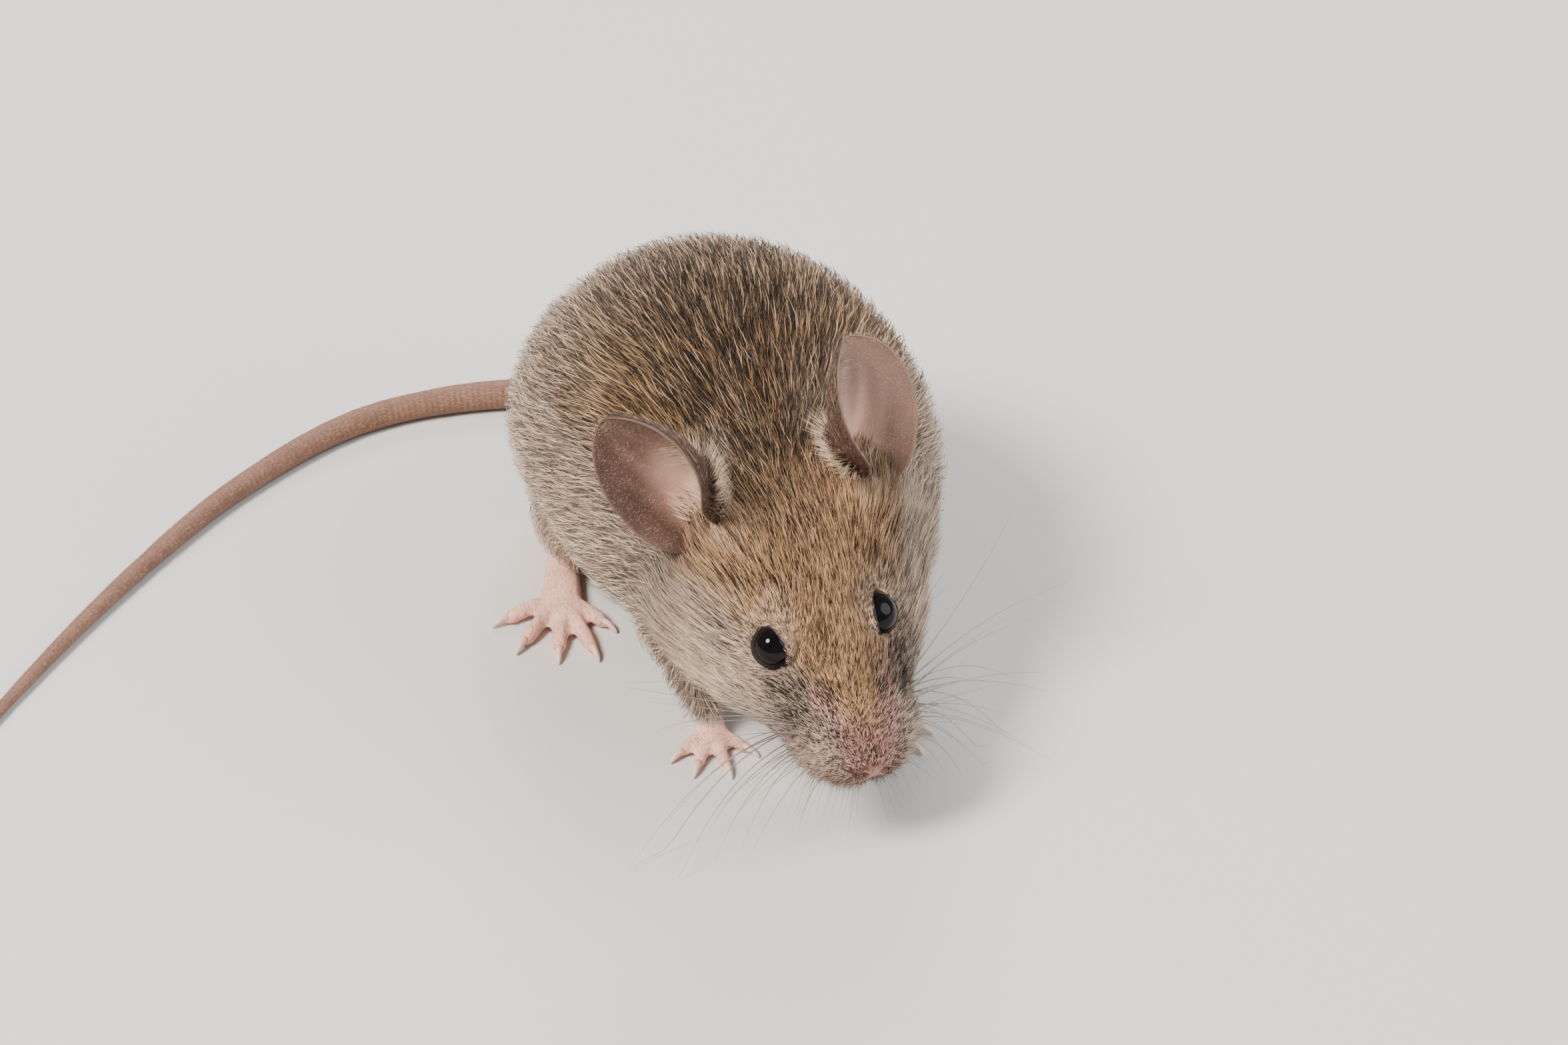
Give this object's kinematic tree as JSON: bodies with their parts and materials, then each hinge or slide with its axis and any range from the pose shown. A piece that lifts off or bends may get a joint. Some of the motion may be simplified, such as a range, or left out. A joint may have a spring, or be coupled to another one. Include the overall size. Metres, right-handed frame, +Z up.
{
  "type": "house mouse",
  "caption": "Crouching house mouse with a hunched back, turned head, large dished ears, long whiskers and a tapering tail laid on the floor",
  "frame": {"origin": "middle of the whole animal's box, tail included, at the level of its soles", "axes": "+Z up; the mouse faces -Y, its left side is +X, and its tail lies towards -X"},
  "size_m": [0.0816, 0.0614, 0.0341],
  "materials": {
    "coat": "dense short agouti fur, brown with dark flecks",
    "ear_skin": "thin brown-pink skin with fine pale hairs",
    "eye": "wet glossy black",
    "nose_skin": "moist pink skin",
    "foot_skin": "bare pink skin with fine pale hairs",
    "tail_skin": "ringed scaly skin, pinkish brown",
    "claw": "translucent pale horn",
    "whisker": "fine pale hair, darker at the root"
  },
  "bodies": {
    "root": {"trunk": "coat", "neck": "coat", "head": "coat", "nose": "nose_skin", "lower_jaw": "coat", "ear_right": "ear_skin", "ear_left": "ear_skin", "eye_right": "eye", "eye_left": "eye", "foreleg_right": "coat", "foreleg_left": "coat", "hindleg_right": "coat", "hindleg_left": "coat", "forefoot_right": "foot_skin", "forefoot_left": "foot_skin", "hindfoot_right": "foot_skin", "hindfoot_left": "foot_skin", "tail_base": "tail_skin", "tail_middle": "tail_skin", "tail_tip": "tail_skin"}
  },
  "joints": []
}
